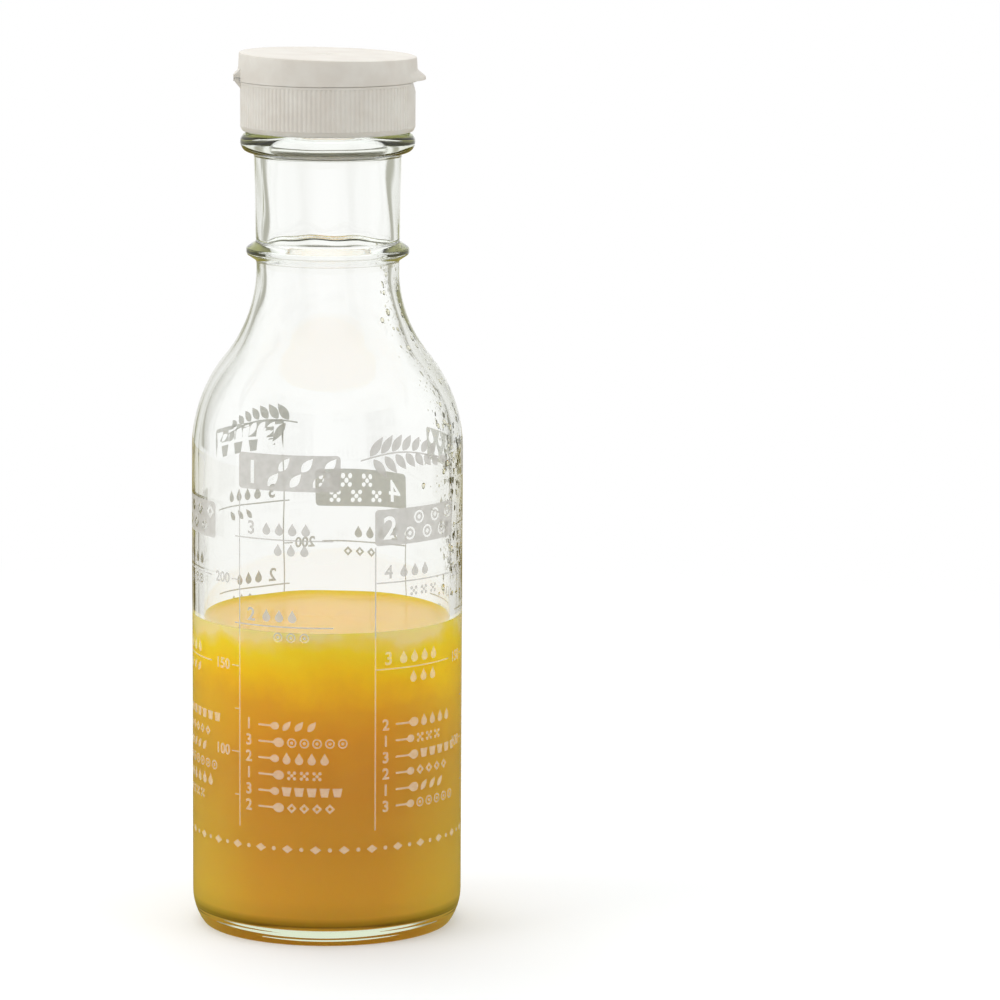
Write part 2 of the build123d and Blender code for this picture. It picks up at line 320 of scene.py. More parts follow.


# Shares of the filling's height, and the colour there; on its free surface, shares of the way out to the
# glass. Roughness and specular are a pair: against the glass, and on the free surface. On the side, the dark
# stops just above the foot are a painted line of shade, the stops near the top are painted brighter for the
# back light glowing through, and the last stop is a pale painted highlight along the top edge.
dressingLook = dict(
    side=[(0.0, "#E3B04A"), (0.003, "#7A5E1C"), (0.012, "#A8821F"), (0.035, "#E0A83E"), (0.3, "#D89F3F"),
          (0.52, "#DA9B3E"), (0.66, "#E4A33B"), (0.76, "#E9AD37"), (0.87, "#FFD02F"), (0.94, "#FFDD3A"),
          (0.975, "#FFE06C"), (1.0, "#FFE5A0")],
    surface=[(0.3, "#FABE34"), (0.85, "#FBC534"), (0.97, "#FCCF2E")],
    flank=(0.4, 1.0), flankTop=(0.68, 0.92), paintedFlankTint=(1.0, 1.25, 1.3, 1.0), cloud=13.0, cloudDetail=4.0,
    cloudRange=(0.3, 0.7), cloudShare=0.05, roughness=(0.7, 0.2), specular=(0.0, 0.2), sinking=0.5,
    sinkDepth=3.0, sinkColours=(1.0, 0.6, 0.12))
smoothly = {"interpolation_type": "SMOOTHSTEP"}


# An emulsion of oil, vinegar and mustard: opaque and glowing yellow, darker and browner towards the bottom,
# partly from settling and partly painted light: its upper part is painted brighter for the back light
# that glows through it. It has soft clouds in it, a painted line of shade round its foot, a pale painted
# highlight along its top edge, and its left and right flanks painted paler and yellower, a painted
# lightening of the sides. Against the glass it has no gloss of its own, and its free surface is wet.
def emulsion(name, wet):
    look = dressingLook
    material, tree = newTree(name)
    place = addNode(tree, "TexCoord").outputs["Object"]
    split = addNode(tree, "SeparateXYZ", {}, {0: place})
    level = addNode(tree, "MapRange", {"From Min": fillLow[2] * mm, "From Max": fillHigh[2] * mm},
                    {"Value": split.outputs["Z"]})
    flat = addNode(tree, "CombineXYZ", {}, {0: split.outputs["X"], 1: split.outputs["Y"]})
    reach = addNode(tree, "VectorMath", {"operation": "LENGTH"}, {0: flat})
    outward = addNode(tree, "Math", {"operation": "DIVIDE", 1: fillHigh[0] * mm}, {0: reach.outputs["Value"]})
    cloud = addNode(tree, "TexNoise",
                    {"Scale": 1 / (look["cloud"] * mm), "Detail": look["cloudDetail"]}, {"Vector": place})
    drift = addNode(tree, "MapRange",
                    {"From Min": look["cloudRange"][0], "From Max": look["cloudRange"][1],
                     "To Min": 1 - look["cloudShare"], "To Max": 1 + look["cloudShare"]}, {"Value": cloud})
    share = addNode(tree, "Math", {"operation": "MULTIPLY"}, {0: outward if wet else level, 1: drift})
    colour = addNode(tree, "ValToRGB", {}, {"Fac": share}, look["surface" if wet else "side"])
    off = addNode(tree, "Math", {"operation": "ABSOLUTE"}, {0: split.outputs["X"]})
    # The left and right flanks, below the top, are painted paler and yellower: a painted lightening of the
    # sides
    flank = addNode(tree, "MapRange",
                    {**smoothly, "From Min": look["flank"][0] * fillHigh[0] * mm,
                     "From Max": look["flank"][1] * fillHigh[0] * mm, "To Max": 0.0 if wet else 1.0},
                    {"Value": off})
    below = addNode(tree, "MapRange",
                    {**smoothly, "From Min": look["flankTop"][1], "From Max": look["flankTop"][0]},
                    {"Value": level})
    paintedFlankLight = addNode(tree, "Math", {"operation": "MULTIPLY"}, {0: flank, 1: below})
    tinted = addNode(tree, "Mix", {"data_type": "RGBA", "blend_type": "MULTIPLY", 7: look["paintedFlankTint"]},
                     {0: paintedFlankLight, 6: colour})
    shader = addNode(tree, "BsdfPrincipled",
                     {"Roughness": look["roughness"][wet], "Specular IOR Level": look["specular"][wet],
                      "Subsurface Weight": look["sinking"], "Subsurface Radius": look["sinkColours"],
                      "Subsurface Scale": look["sinkDepth"] * mm}, {"Base Color": tinted.outputs[2]})
    addNode(tree, "OutputMaterial", {}, {"Surface": shader})
    return material


# Glass bottle. A wave is (height, depth) points, extraRows are rows for each millimetre, and ripples are the
# heel's.

bottle = dict(
    printSkin=0.07, wall=2.6, heelHeight=7.5, bearingRadius=28.4, bearingWidth=2.5, pushUp=1.5,
    baseThickness=2.4, floorRound=7.0, bodyHeight=110.0, shoulderRise=41.0, crownShare=0.53, neckRadius=16.3,
    neckFlare=0.5, boreRadius=14.0, ringRise=4.4, ringReach=2.2, ringRoot=4.2, ringTip=1.3, neckLength=24.7,
    beadReach=2.35, finishRadius=17.55, rimRound=0.9, softness=0.28,
    stepLimit=5.0, turnLimit=5.5, columns=172, extraRows=dict(thread=2.6, wall=0.5, heel=5.0),
    threadMargin=1.5, rimMargin=0.5, floorMargin=2.0, sharpAngle=70,
    outerWave=[(0, 0.0), (12, 0.012), (112, 0.012), (150, 0.035), (176, 0.035), (184, 0.0)],
    innerWave=[(6, 0.0), (18, 0.05), (108, 0.07), (132, 0.14), (156, 0.2), (182, 0.16), (190, 0.0)],
    rippleDepth=0.012, ripplePitch=1.1, rippleLow=0.4, rippleTop=6.5, rippleBend=1.5, rippleLobes=3,
    seamAngle=12.0, seamHeight=0.02, seamWidth=0.5, seamColumns=(-0.8, -0.4, 0.4, 0.8), seamClear=1.0)
thread = dict(pitch=4.233, depth=1.0, root=2.4, crest=1.0, turns=1.25, topDrop=2.3, fadeShare=0.08)

rimHeight = glassHigh[2]
bodyRadius = glassHigh[0] - bottle["printSkin"]
cavityRadius = glassHigh[0] - bottle["wall"]
cavityFloor = bottle["pushUp"] + bottle["baseThickness"]
shoulderTop = bottle["bodyHeight"] + bottle["shoulderRise"]
ringHeight = shoulderTop + bottle["ringRise"]
beadHeight = ringHeight + bottle["neckLength"]
threadLow = rimHeight - thread["topDrop"] - thread["pitch"] * thread["turns"]


# The shoulder is a crown arc and a hollow arc that meet part of the way up, on the line between their ends,
# and each is upright at its own end.
def shoulderOutline(lowRadius, highRadius, share):
    low = bottle["bodyHeight"]
    meet = (lowRadius + (highRadius - lowRadius) * share, low + bottle["shoulderRise"] * share)
    crown = arcTo((lowRadius, low), (0, 1), meet)
    hollow = arcTo((highRadius, shoulderTop), (0, -1), meet)[::-1]
    return np.concatenate([crown, hollow[1:]])


# From the middle of the base outwards and up: the push-up, the heel, the body, the shoulder, the flaring neck
# with its ring, a fillet, the half-round bead, the finish and half of the rim.
def outerOutline():
    bearing = bottle["bearingRadius"]
    base = arcTo((0, bottle["pushUp"]), (1, 0), (bearing - bottle["bearingWidth"], 0))
    heel = arcTo((bodyRadius, bottle["heelHeight"]), (0, -1), (bearing, 0))[::-1]
    neck = bottle["neckRadius"]
    shoulder = shoulderOutline(bodyRadius, neck, bottle["crownShare"])
    flare = bottle["neckFlare"] / (bottle["ringRise"] + bottle["neckLength"])
    foot = neck + flare * bottle["ringRise"]
    crest = foot + bottle["ringReach"]
    root = bottle["ringRoot"] / 2
    tip = bottle["ringTip"] / 2
    ring = [(foot, ringHeight - root), (crest, ringHeight - tip),
            (crest, ringHeight + tip), (foot, ringHeight + root)]
    finish = bottle["finishRadius"]
    reach = bottle["beadReach"]
    neckTop = neck + bottle["neckFlare"]
    under = beadHeight - reach
    fillet = arcTo((neckTop, under - finish + neckTop), (0, 1), (finish, under))
    turns = np.linspace(-math.pi / 2, math.pi / 2, 40)[1:]
    bead = pairs(finish + reach * np.cos(turns), beadHeight + reach * np.sin(turns))
    edge = bottle["rimRound"]
    rim = arcTo((finish, rimHeight - edge), (0, 1), (finish - edge, rimHeight))
    return np.concatenate([base, heel, shoulder, ring, fillet, bead, rim])


# From the rim down the bore and the inside of the shoulder, which keeps the wall's thickness, to the cavity's
# floor.
def innerOutline():
    inwards = glassHigh[0] - bottle["neckRadius"]
    arcsRadius = (bottle["shoulderRise"] ** 2 + inwards**2) / (2 * inwards)
    share = bottle["crownShare"] - bottle["wall"] / arcsRadius
    corner = bottle["floorRound"]
    floor = arcTo((cavityRadius - corner, cavityFloor), (1, 0), (cavityRadius, cavityFloor + corner))
    bore = bottle["boreRadius"]
    edge = bottle["rimRound"]
    lip = arcTo((bore, rimHeight - edge), (0, 1), (bore + edge, rimHeight))
    rising = [[(0, cavityFloor)], floor, shoulderOutline(cavityRadius, bore, share), lip]
    return np.concatenate(rising)[::-1]


# Slow unevenness of the wall: three waves of 2, 5 and 9 lobes round the bottle, each twisted by the height.
def wallWave(angle, height):
    return (0.5 * np.sin(2 * angle + 1.3 + height / 17) + 0.3 * np.sin(5 * angle + 0.4 - height / 9)
            + 0.2 * np.sin(9 * angle + 2.1 + height / 3.1))


# Even columns, with four more beside each of the two mould seams, which stand opposite each other
def columnAngles():
    seams = np.radians([bottle["seamAngle"], bottle["seamAngle"] + 180])
    offsets = np.radians(bottle["seamColumns"])
    even = np.arange(bottle["columns"]) * math.tau / bottle["columns"]
    gaps = np.abs((even[:, None] - seams + math.pi) % math.tau - math.pi).min(axis=1)
    clear = even[gaps > np.radians(bottle["seamClear"])]
    return np.sort(np.concatenate([clear, seams, (seams[:, None] + offsets).ravel()]))


# The whole outline, softened and turned. On its radius lie the wall's waves, the thread, the seams, each a
# bell curve of the distance from it, and round the heel a fine sine of the height, which rippleLobes waves
# bend.
def glassBottle():
    outline = softened(np.concatenate([outerOutline(), innerOutline()]), bottle["softness"])
    top = outline[:, 1].argmax()
    level = outline[:, 1]
    outside = np.arange(len(outline)) <= top
    onThread = (level > threadLow - bottle["threadMargin"]) & (level < rimHeight - bottle["rimMargin"])
    onHeel = (level > bottle["rippleLow"]) & (level < bottle["rippleTop"])
    onWall = level > cavityFloor + bottle["floorMargin"]
    extra = bottle["extraRows"]
    extraHere = (extra["thread"] * (outside & onThread) + extra["wall"] * (~outside & onWall)
                 + extra["heel"] * (outside & onHeel))
    rows = pickRows(outline, bottle["stepLimit"], bottle["turnLimit"], extraHere)[1:-1]
    index = np.arange(len(outline))
    radius = np.interp(rows, index, outline[:, 0])[:, None]
    height = np.interp(rows, index, level)[:, None]
    outer = (rows <= top)[:, None]
    angle = columnAngles()[None, :]
    outerWave = np.interp(height, *zip(*bottle["outerWave"]))
    innerWave = np.interp(height, *zip(*bottle["innerWave"]))
    offset = np.where(outer, outerWave, innerWave) * wallWave(angle, height)
    ridge = ridgeHeight(angle, height, threadLow, 0, thread) * (outer & (height > beadHeight))
    fade = np.sin(math.pi * np.clip(height / bottle["rippleTop"], 0, 1)) * outer
    bend = bottle["rippleBend"] * np.sin(bottle["rippleLobes"] * angle)
    ripple = bottle["rippleDepth"] * fade * np.sin(math.tau * height / bottle["ripplePitch"] + bend)
    gap = np.abs((angle - np.radians(bottle["seamAngle"]) + math.pi / 2) % math.pi - math.pi / 2) * radius
    seam = bottle["seamHeight"] * np.exp(-(gap / bottle["seamWidth"] * 2) ** 2)
    onSide = outer & (height > bottle["heelHeight"]) & (height < beadHeight)
    points = turned(radius + offset + ridge + ripple + seam * onSide, height, angle)
    piece = gridPiece("glass_bottle_blown", points, lowPole=(0, 0, outline[0, 1]),
                      highPole=(0, 0, outline[-1, 1]), sharpAngle=bottle["sharpAngle"])
    piece.data.materials.append(sodaLimeGlass())
    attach(piece, "bottle")
    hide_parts("glass_bottle")
    return piece


glassPiece = glassBottle()
print("glass bottle", len(glassPiece.data.polygons), "faces")


# Dressing

filling = dict(
    sink=0.2, floorSink=0.3, meniscus=1.1, meniscusWidth=1.3, ripple=0.05, rippleTwist=2.0, sharpAngle=50,
    columns=180, floorRows=12, cornerRows=20, sideRows=38, surfaceRows=60, surfaceCrowding=2.2)


# The filling's side and floor lie a little inside the glass, so the two meet without a film of air. Its free
# surface rises at the wall by the meniscus, which falls off exponentially with the distance from the wall.
def dressingPiece():
    columns = filling["columns"]
    radius = cavityRadius + filling["sink"]
    low = cavityFloor - filling["floorSink"]
    high = fillHigh[2]
    corner = bottle["floorRound"]
    floor = arcTo((radius - corner, low), (1, 0), (radius, low + corner), filling["cornerRows"])
    side = pairs(radius, np.linspace(low + corner, high, filling["sideRows"])[1:-1])
    inwards = radius * (1 - np.linspace(0, 1, filling["surfaceRows"]) ** filling["surfaceCrowding"])[:-1]
    climb = filling["meniscus"] * np.exp(-(radius - inwards) / filling["meniscusWidth"])
    bottom = np.linspace(0, floor[0, 0], filling["floorRows"])[1:-1]
    outline = np.concatenate([pairs(bottom, low), floor, side, pairs(inwards, high + climb)])
    firstOnTop = len(outline) - len(inwards)
    onTop = np.arange(len(outline)) >= firstOnTop
    angle = np.arange(columns)[None, :] * math.tau / columns
    ripple = filling["ripple"] * onTop[:, None] * wallWave(angle, outline[:, :1] * filling["rippleTwist"])
    points = turned(outline[:, :1], outline[:, 1:] + ripple, angle)
    piece = gridPiece("dressing_filling", points, lowPole=(0, 0, low), highPole=(0, 0, high),
                      sharpAngle=filling["sharpAngle"])
    piece.data.materials.append(emulsion("emulsionAgainstGlass", wet=False))
    piece.data.materials.append(emulsion("emulsionFreeSurface", wet=True))
    onSurface = (np.arange(len(piece.data.polygons)) >= firstOnTop * columns).astype(np.int32)
    onSurface[(len(outline) - 1) * columns:len(outline) * columns] = 0        # the fan that closes the bottom
    piece.data.polygons.foreach_set("material_index", onSurface)
    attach(piece, "bottle")
    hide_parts("dressing")


dressingPiece()
print("dressing filled to", fillHigh[2].round(1))

drops = dict(count=620, seed=11, sizes=(0.13, 0.7), rare=5, flatness=0.4, hang=1.7, clusters=26, middle=1.0,
             spread=15.0, clusterSize=3.0, heights=(78, 156), rings=4, sides=8, sunk=0.25)
flecks = dict(count=200, seed=5, sizes=(0.12, 0.6), rare=2.4, flatness=0.5, hang=2.6, clusters=22,
              middle=-3.0, spread=9.0, clusterSize=2.2, heights=(84, 140), rings=3, sides=5, sunk=0.25)


# Spots on the inner wall, each half of a flattened ball: across = size cos e, off the wall = size flatness
# sin e, where e starts inside the glass, at -sunk of a quarter turn. Small ones are common and large ones
# rare, they lie in clusters, and each hangs longer below than above.
def wallSpots(name, look, material):
    random = np.random.default_rng(look["seed"])
    count = look["count"]
    smallest, largest = look["sizes"]
    size = smallest + (largest - smallest) * random.random(count) ** look["rare"]
    cluster = random.integers(0, look["clusters"], count)
    middle = random.normal(look["middle"], look["spread"], look["clusters"])[cluster]
    middle = np.radians(middle + random.normal(0, 2 * look["clusterSize"], count))
    level = random.uniform(*look["heights"], look["clusters"])[cluster]
    level = np.clip(level + random.normal(0, 2 * look["clusterSize"], count), *look["heights"])
    inner = innerOutline()
    floorEnd = cavityFloor + bottle["floorRound"]
    lipStart = rimHeight - bottle["rimRound"]
    wallPart = inner[(inner[:, 1] > floorEnd) & (inner[:, 1] < lipStart)][::-1]
    rise = np.linspace(-look["sunk"], 1, look["rings"])[None, :, None] * math.pi / 2
    turn = np.linspace(0, math.tau, look["sides"], endpoint=False)[None, None, :]
    size = size[:, None, None]
    upward = size * np.cos(rise) * np.sin(turn)
    height = level[:, None, None] + np.where(upward < 0, upward * look["hang"], upward)
    radius = np.interp(height, wallPart[:, 1], wallPart[:, 0]) - size * look["flatness"] * np.sin(rise)
    angle = middle[:, None, None] + size * np.cos(rise) * np.cos(turn) / radius
    points = turned(radius, height, angle).reshape(-1, 3)
    number = np.arange(len(points)).reshape(count, look["rings"], look["sides"])
    low, high = number[:, :-1], number[:, 1:]
    quads = np.stack([low, high, np.roll(high, -1, 2), np.roll(low, -1, 2)], axis=-1).reshape(-1, 4)
    mesh = bpy.data.meshes.new(name)
    mesh.from_pydata((points * mm).tolist(), [], quads.tolist() + number[:, 0].tolist())
    mesh.shade_smooth()
    bm = bmesh.new()
    bm.from_mesh(mesh)
    bmesh.ops.remove_doubles(bm, verts=bm.verts, dist=0.001 * mm)
    bmesh.ops.recalc_face_normals(bm, faces=bm.faces)
    bm.to_mesh(mesh)
    bm.free()
    piece = linkObject(name, mesh)
    mesh.materials.append(material)
    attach(piece, "bottle")


wallSpots("dressing_drops", drops, oilFilm())
wallSpots("dressing_flecks", flecks, plainFinish("driedHerbsAndPepper"))
print("on the inner wall", drops["count"], "drops and", flecks["count"], "flecks")


# Print on the glass: shapes are drawn flat, in millimetres round the bottle (from the front, to the right)
# and up it, then laid round the body just off its surface. A place in pairs of numbers is along and up from
# where its header, level line or row begins.

printing = dict(
    lift=0.04, cut=1.5, panels=6, firstRule=-38.0, ruleWidth=0.32, ruleLow=27.0, ruleGap=0.3, ruleInset=0.05,
    thicken=0.09, perMl=1 / 2.534, floorShare=0.7,
    tickEvery=25, ticks=9, tickReach=(2.2, 1.2), tickHalf=0.14, tickNumber=3.3, tickNumberAt=(-0.7, -1.1),
    headerWidth=24.5, headerHeight=8.2, headerLow=(104.5, 92.0), headerRound=0.9, headerNumber=7.4,
    headerNumberAt=(1.9, 1.45), headerFrom=9.0, headerStep=2.65, headerStagger=1.75, headerMotifs=6,
    headerSize=1.35,
    levels=((175, 225), (150, 200)), levelWidth=22.5, levelHalf=0.16, levelNumber=4.2, levelStep=3.1,
    levelNumberAt=(2.0, 1.0), levelDropsAt=(7.0, 2.0), levelMotifsAt=(9.8, -2.4), levelMotifs=3,
    rowHigh=51.0, rowStep=3.75, rows=6, rowNumber=3.5, rowNumberAt=(1.5, -1.15), spoonAt=4.9,
    spoons=(5.2, 6.4), spoonBowl=(0.8, 0.2), spoonHandle=0.22, rowFrom=6.7, motifStep=2.9,
    bandHeight=22.8, bandStep=3.3, bandDiamond=(1.3, 0.95), bandDot=0.5)
sprig = dict(along=8.5, up=111.5, length=22.0, sway=1.4, waves=0.6, stemHalf=0.18, leaves=7, firstLeaf=0.1,
             leafStep=0.125, leafLength=5.4, leafShorter=0.42, leafWidth=2.0, leafLean=52, leafLift=0.35,
             stagger=0.8, tipAt=0.1, tipLength=3.6, tipWidth=1.6, tipLean=-20)


def barShape(left, low, right, high):
    return np.array([(left, low), (right, low), (right, high), (left, high)])


# A rectangle with quarter-circle corners
def roundedBar(left, low, right, high, radius):
    quarter = np.linspace(0, math.pi / 2, 6)
    centres = [(right - radius, high - radius), (left + radius, high - radius),
               (left + radius, low + radius), (right - radius, low + radius)]
    corners = []
    for number, (x, y) in enumerate(centres):
        turn = quarter + number * math.pi / 2
        corners.append(pairs(x + radius * np.cos(turn), y + radius * np.sin(turn)))
    return np.concatenate(corners)


def roundDot(across, up, radius, sides=12):
    turn = np.arange(sides) * math.tau / sides
    return pairs(across + radius * np.cos(turn), up + radius * np.sin(turn))


def diamond(across, up, halfWidth, halfHeight):
    return np.array([(across + halfWidth, up), (across, up + halfHeight), (across - halfWidth, up),
                     (across, up - halfHeight)])


# Shares of a length from 0 to 1, closer together at both ends: (1 - cos a) / 2
def easedShares(count):
    return (1 - np.cos(np.linspace(0, math.pi, count))) / 2


# Both edges of a shape that lies along a line: half its width is given at each share of its length, and the
# whole is turned by lean and moved to its place.
def alongShape(across, up, length, halfWidth, lean):
    lengthwise = easedShares(len(halfWidth)) * length
    lower = pairs(lengthwise, -halfWidth)[::-1][1:-1]
    points = np.concatenate([pairs(lengthwise, halfWidth), lower])
    return spun(points[:, 0], points[:, 1], math.radians(lean)) + (across, up)


# A leaf: half its width is the sine of the share of its length, drawn out towards the tip
def leaf(across, up, length, width, lean):
    share = easedShares(11)
    return alongShape(across, up, length, width / 2 * np.sin(math.pi * share**0.8) + 0.02, lean)


# A spoon: a thin handle, and a bowl whose half width follows an ellipse, which has its middle and its reach
# at shares of the length
def spoon(across, up, length, width):
    share = easedShares(25)
    middle, reach = printing["spoonBowl"]
    bowl = width / 2 * np.sqrt(np.clip(1 - ((share - middle) / reach) ** 2, 0, 1))
    handle = printing["spoonHandle"] * (share < middle) * np.clip(share / 0.02, 0, 1)
    return alongShape(across, up, length, np.maximum(bowl, handle) + 0.01, 0)


# A drop of liquid: a circle whose top is drawn up to a point
def liquidDrop(across, up, size):
    turn = np.arange(18) * math.tau / 18
    lift = np.clip(np.sin(turn), 0, 1) ** 3
    return pairs(across + size * np.cos(turn) * (1 - 0.8 * lift), up + size * (np.sin(turn) + 0.9 * lift))


# Small motifs, about 2.3 mm tall at a size of one and centred on their place: leaf, slice, drop, grains, cup
# and diamond
def motif(kind, across, up, size=1.0):
    grains = ((-0.65, -0.65), (0.65, -0.65), (0, 0), (-0.65, 0.65), (0.65, 0.65))
    shapes = [
        [leaf(-0.9, -1.0, 2.9, 1.4, 50)],
        [roundDot(0, 0, 1.12), roundDot(0, 0, 0.78), roundDot(0, 0, 0.38, 8)],
        [liquidDrop(0, -0.25, 0.95)],
        [roundDot(*place, 0.4, 8) for place in grains],
        [np.array([(-0.75, -1.0), (0.75, -1.0), (1.15, 1.0), (-1.15, 1.0)])],
        [diamond(0, 0, 1.15, 1.15), diamond(0, 0, 0.5, 0.5)]][kind]
    return [shape * size + (across, up) for shape in shapes]


# Moves every point of an outline outwards by the same amount along the corner's mean normal
def thickened(shape, amount):
    edge = np.roll(shape, -1, axis=0) - shape
    normal = pairs(edge[:, 1], -edge[:, 0])
    normal /= np.linalg.norm(normal, axis=1, keepdims=True) + 1e-9
    before = np.roll(normal, 1, axis=0)
    corner = (normal + before) / np.maximum(1 + (normal * before).sum(axis=1, keepdims=True), 0.4)
    return shape + amount * corner


# Half the sum of x y' - x' y over the corners: more than nought where they go round to the left
def signedArea(shape):
    after = np.roll(shape, -1, axis=0)
    return (shape[:, 0] * after[:, 1] - after[:, 0] * shape[:, 1]).sum() / 2


digitCache = {}


# The outlines of a plain number in the built-in typeface, made bolder, with its left foot at the origin
def numberShapes(text, size):
    if (text, size) not in digitCache:
        curve = bpy.data.curves.new("number", "FONT")
        curve.body = text
        curve.size = size
        holder = linkObject("number", curve)
        flat = holder.to_curve(bpy.context.evaluated_depsgraph_get())
        shapes = []
        for spline in flat.splines:
            knots = spline.bezier_points
            outline = []
            for one, two in zip(knots, [*knots[1:], knots[0]]):
                outline += interpolate_bezier(one.co, one.handle_right, two.handle_left, two.co, 5)[:-1]
            outline = np.array([(point.x, point.y) for point in outline])
            apart = np.linalg.norm(outline - np.roll(outline, 1, axis=0), axis=1) > 0.01
            shapes.append(outline[apart])
        way = math.copysign(1, signedArea(max(shapes, key=lambda shape: abs(signedArea(shape)))))
        digitCache[(text, size)] = [thickened(shape, way * printing["thicken"]) for shape in shapes]
        holder.to_curve_clear()
        bpy.data.objects.remove(holder)
        bpy.data.curves.remove(curve)
    return digitCache[(text, size)]


def numberAt(text, left, low, offset, size):
    return [shape + (left + offset[0], low + offset[1]) for shape in numberShapes(text, size)]


def numberWidth(text, size):
    return max(shape[:, 0].max() for shape in numberShapes(text, size))


# Fills closed shapes, where a shape inside another is a hole, and returns the flat mesh
def filled(shapes):
    curve = bpy.data.curves.new("flatPrint", "CURVE")
    curve.dimensions = "2D"
    curve.fill_mode = "BOTH"
    for shape in shapes:
        spline = curve.splines.new("POLY")
        spline.points.add(len(shape) - 1)
        flatPoints = np.column_stack([shape, np.zeros(len(shape)), np.ones(len(shape))])
        spline.points.foreach_set("co", flatPoints.ravel())
        spline.use_cyclic_u = True
    holder = linkObject("flatPrint", curve)
    mesh = bpy.data.meshes.new_from_object(holder, depsgraph=bpy.context.evaluated_depsgraph_get())
    bpy.data.objects.remove(holder)
    bpy.data.curves.remove(curve)
    return mesh


# The filling's height for a volume: the floor's rounded corner takes up a little of it
def levelOf(ml):
    return cavityFloor + printing["floorShare"] + ml * printing["perMl"]


circumference = math.tau * glassHigh[0]
panelWidth = circumference / printing["panels"]


# A header block with its panel's number and a line of motifs left clear
def headerShapes(left, low, index):
    high = low + printing["headerHeight"]
    shapes = [roundedBar(left, low, left + printing["headerWidth"], high, printing["headerRound"])]
    shapes += numberAt(str(index + 1), left, low, printing["headerNumberAt"], printing["headerNumber"])
    for number in range(printing["headerMotifs"]):
        stagger = printing["headerStagger"] if number % 2 else -printing["headerStagger"]
        along = left + printing["headerFrom"] + number * printing["headerStep"]
        shapes += motif(index, along, (low + high) / 2 + stagger, printing["headerSize"])
    return shapes


# A level line: above it a count and drops for the liquid, under it a few motifs
def levelShapes(left, level, index, step):
    half = printing["levelHalf"]
    shapes = [barShape(left, level - half, left + printing["levelWidth"], level + half)]
    text = str(2 + (index + step) % 4)
    shapes += numberAt(text, left, level, printing["levelNumberAt"], printing["levelNumber"])
    along, up = printing["levelDropsAt"]
    for number in range(3 + (index + step) % 2):
        shapes.append(liquidDrop(left + along + number * printing["levelStep"], level + up, 1.0))
    along, up = printing["levelMotifsAt"]
    for number in range(printing["levelMotifs"]):
        shapes += motif((index + step + 1) % 6, left + along + number * printing["levelStep"], level + up)
    return shapes


# A row of the list: a count, a large or small spoon, and motifs
def rowShapes(left, up, index, row):
    text = str((row * 2 + index) % 3 + 1)
    shapes = numberAt(text, left, up, printing["rowNumberAt"], printing["rowNumber"])
    length = printing["spoons"][(row + index) % 2]
    shapes.append(spoon(left + printing["spoonAt"], up, length, length / 3))
    for number in range(3 + (row * 2 + index) % 3):
        along = left + printing["rowFrom"] + length + number * printing["motifStep"]
        shapes += motif((row + 2 * index) % 6, along, up)
    return shapes


# The scale beside a rule: a tick at every step of volume, and a number at every second one
def scaleShapes(left):
    right = left - printing["ruleInset"]
    half = printing["tickHalf"]
    shapes = []
    for tick in range(1, printing["ticks"] + 1):
        volume = tick * printing["tickEvery"]
        level = levelOf(volume)
        if level >= printing["ruleLow"]:
            reach = printing["tickReach"][tick % 2]
            shapes.append(barShape(right - reach, level - half, right, level + half))
            if tick % 2 == 0:
                size = printing["tickNumber"]
                start = left - reach - numberWidth(str(volume), size)
                shapes += numberAt(str(volume), start, level, printing["tickNumberAt"], size)
    return shapes


# One panel: a rule with a header at its top, level lines, rows, and on every other panel a scale beside the
# rule
def panelShapes(index):
    left = printing["firstRule"] / 360 * circumference + index * panelWidth
    kind = index % 2
    headerLow = printing["headerLow"][kind]
    ruleRight = left + printing["ruleWidth"]
    rule = [barShape(left, printing["ruleLow"], ruleRight, headerLow - printing["ruleGap"])]
    shapes = headerShapes(left, headerLow, index)
    inset = ruleRight + printing["ruleInset"]
    for step, ml in enumerate(printing["levels"][kind]):
        shapes += levelShapes(inset, levelOf(ml), index, step)
    for row in range(printing["rows"]):
        shapes += rowShapes(inset, printing["rowHigh"] - row * printing["rowStep"], index, row)
    if kind == 0:
        shapes += scaleShapes(left)
    return rule, shapes


# The band under the panels: diamonds and dots in turn, a whole number of them round the bottle
def bandShapes():
    count = round(circumference / printing["bandStep"] / 2) * 2
    places = (np.arange(count) + 0.5) * circumference / count
    up = printing["bandHeight"]
    shapes = []
    for dotPlace, diamondPlace in places.reshape(-1, 2):
        shapes.append(roundDot(dotPlace, up, printing["bandDot"], 10))
        shapes.append(diamond(diamondPlace, up, *printing["bandDiamond"]))
    return shapes


# A sprig: a stem that follows a shallow sine, with leaves to both sides that shorten towards its tip
def sprigShapes(across):
    length = sprig["length"]
    share = np.linspace(0, 1, 25)
    stemUp = sprig["up"] + sprig["sway"] * np.sin(share * math.tau * sprig["waves"])
    upper = pairs(across + share * length, stemUp + sprig["stemHalf"])
    lower = pairs(across + share * length, stemUp - sprig["stemHalf"])[::-1]
    leaves = []
    for number in range(sprig["leaves"]):
        place = sprig["firstLeaf"] + number * sprig["leafStep"]
        base = sprig["up"] + sprig["sway"] * math.sin(place * math.tau * sprig["waves"])
        size = sprig["leafLength"] - sprig["leafShorter"] * number
        for side, shift in ((1, 0.0), (-1, sprig["stagger"])):
            leaves.append(leaf(across + place * length + shift, base + side * sprig["leafLift"], size,
                               sprig["leafWidth"], side * sprig["leafLean"]))
    tip = across + length + sprig["tipAt"]
    leaves.append(leaf(tip, stemUp[-1], sprig["tipLength"], sprig["tipWidth"], sprig["tipLean"]))
    return [np.concatenate([upper, lower])], leaves
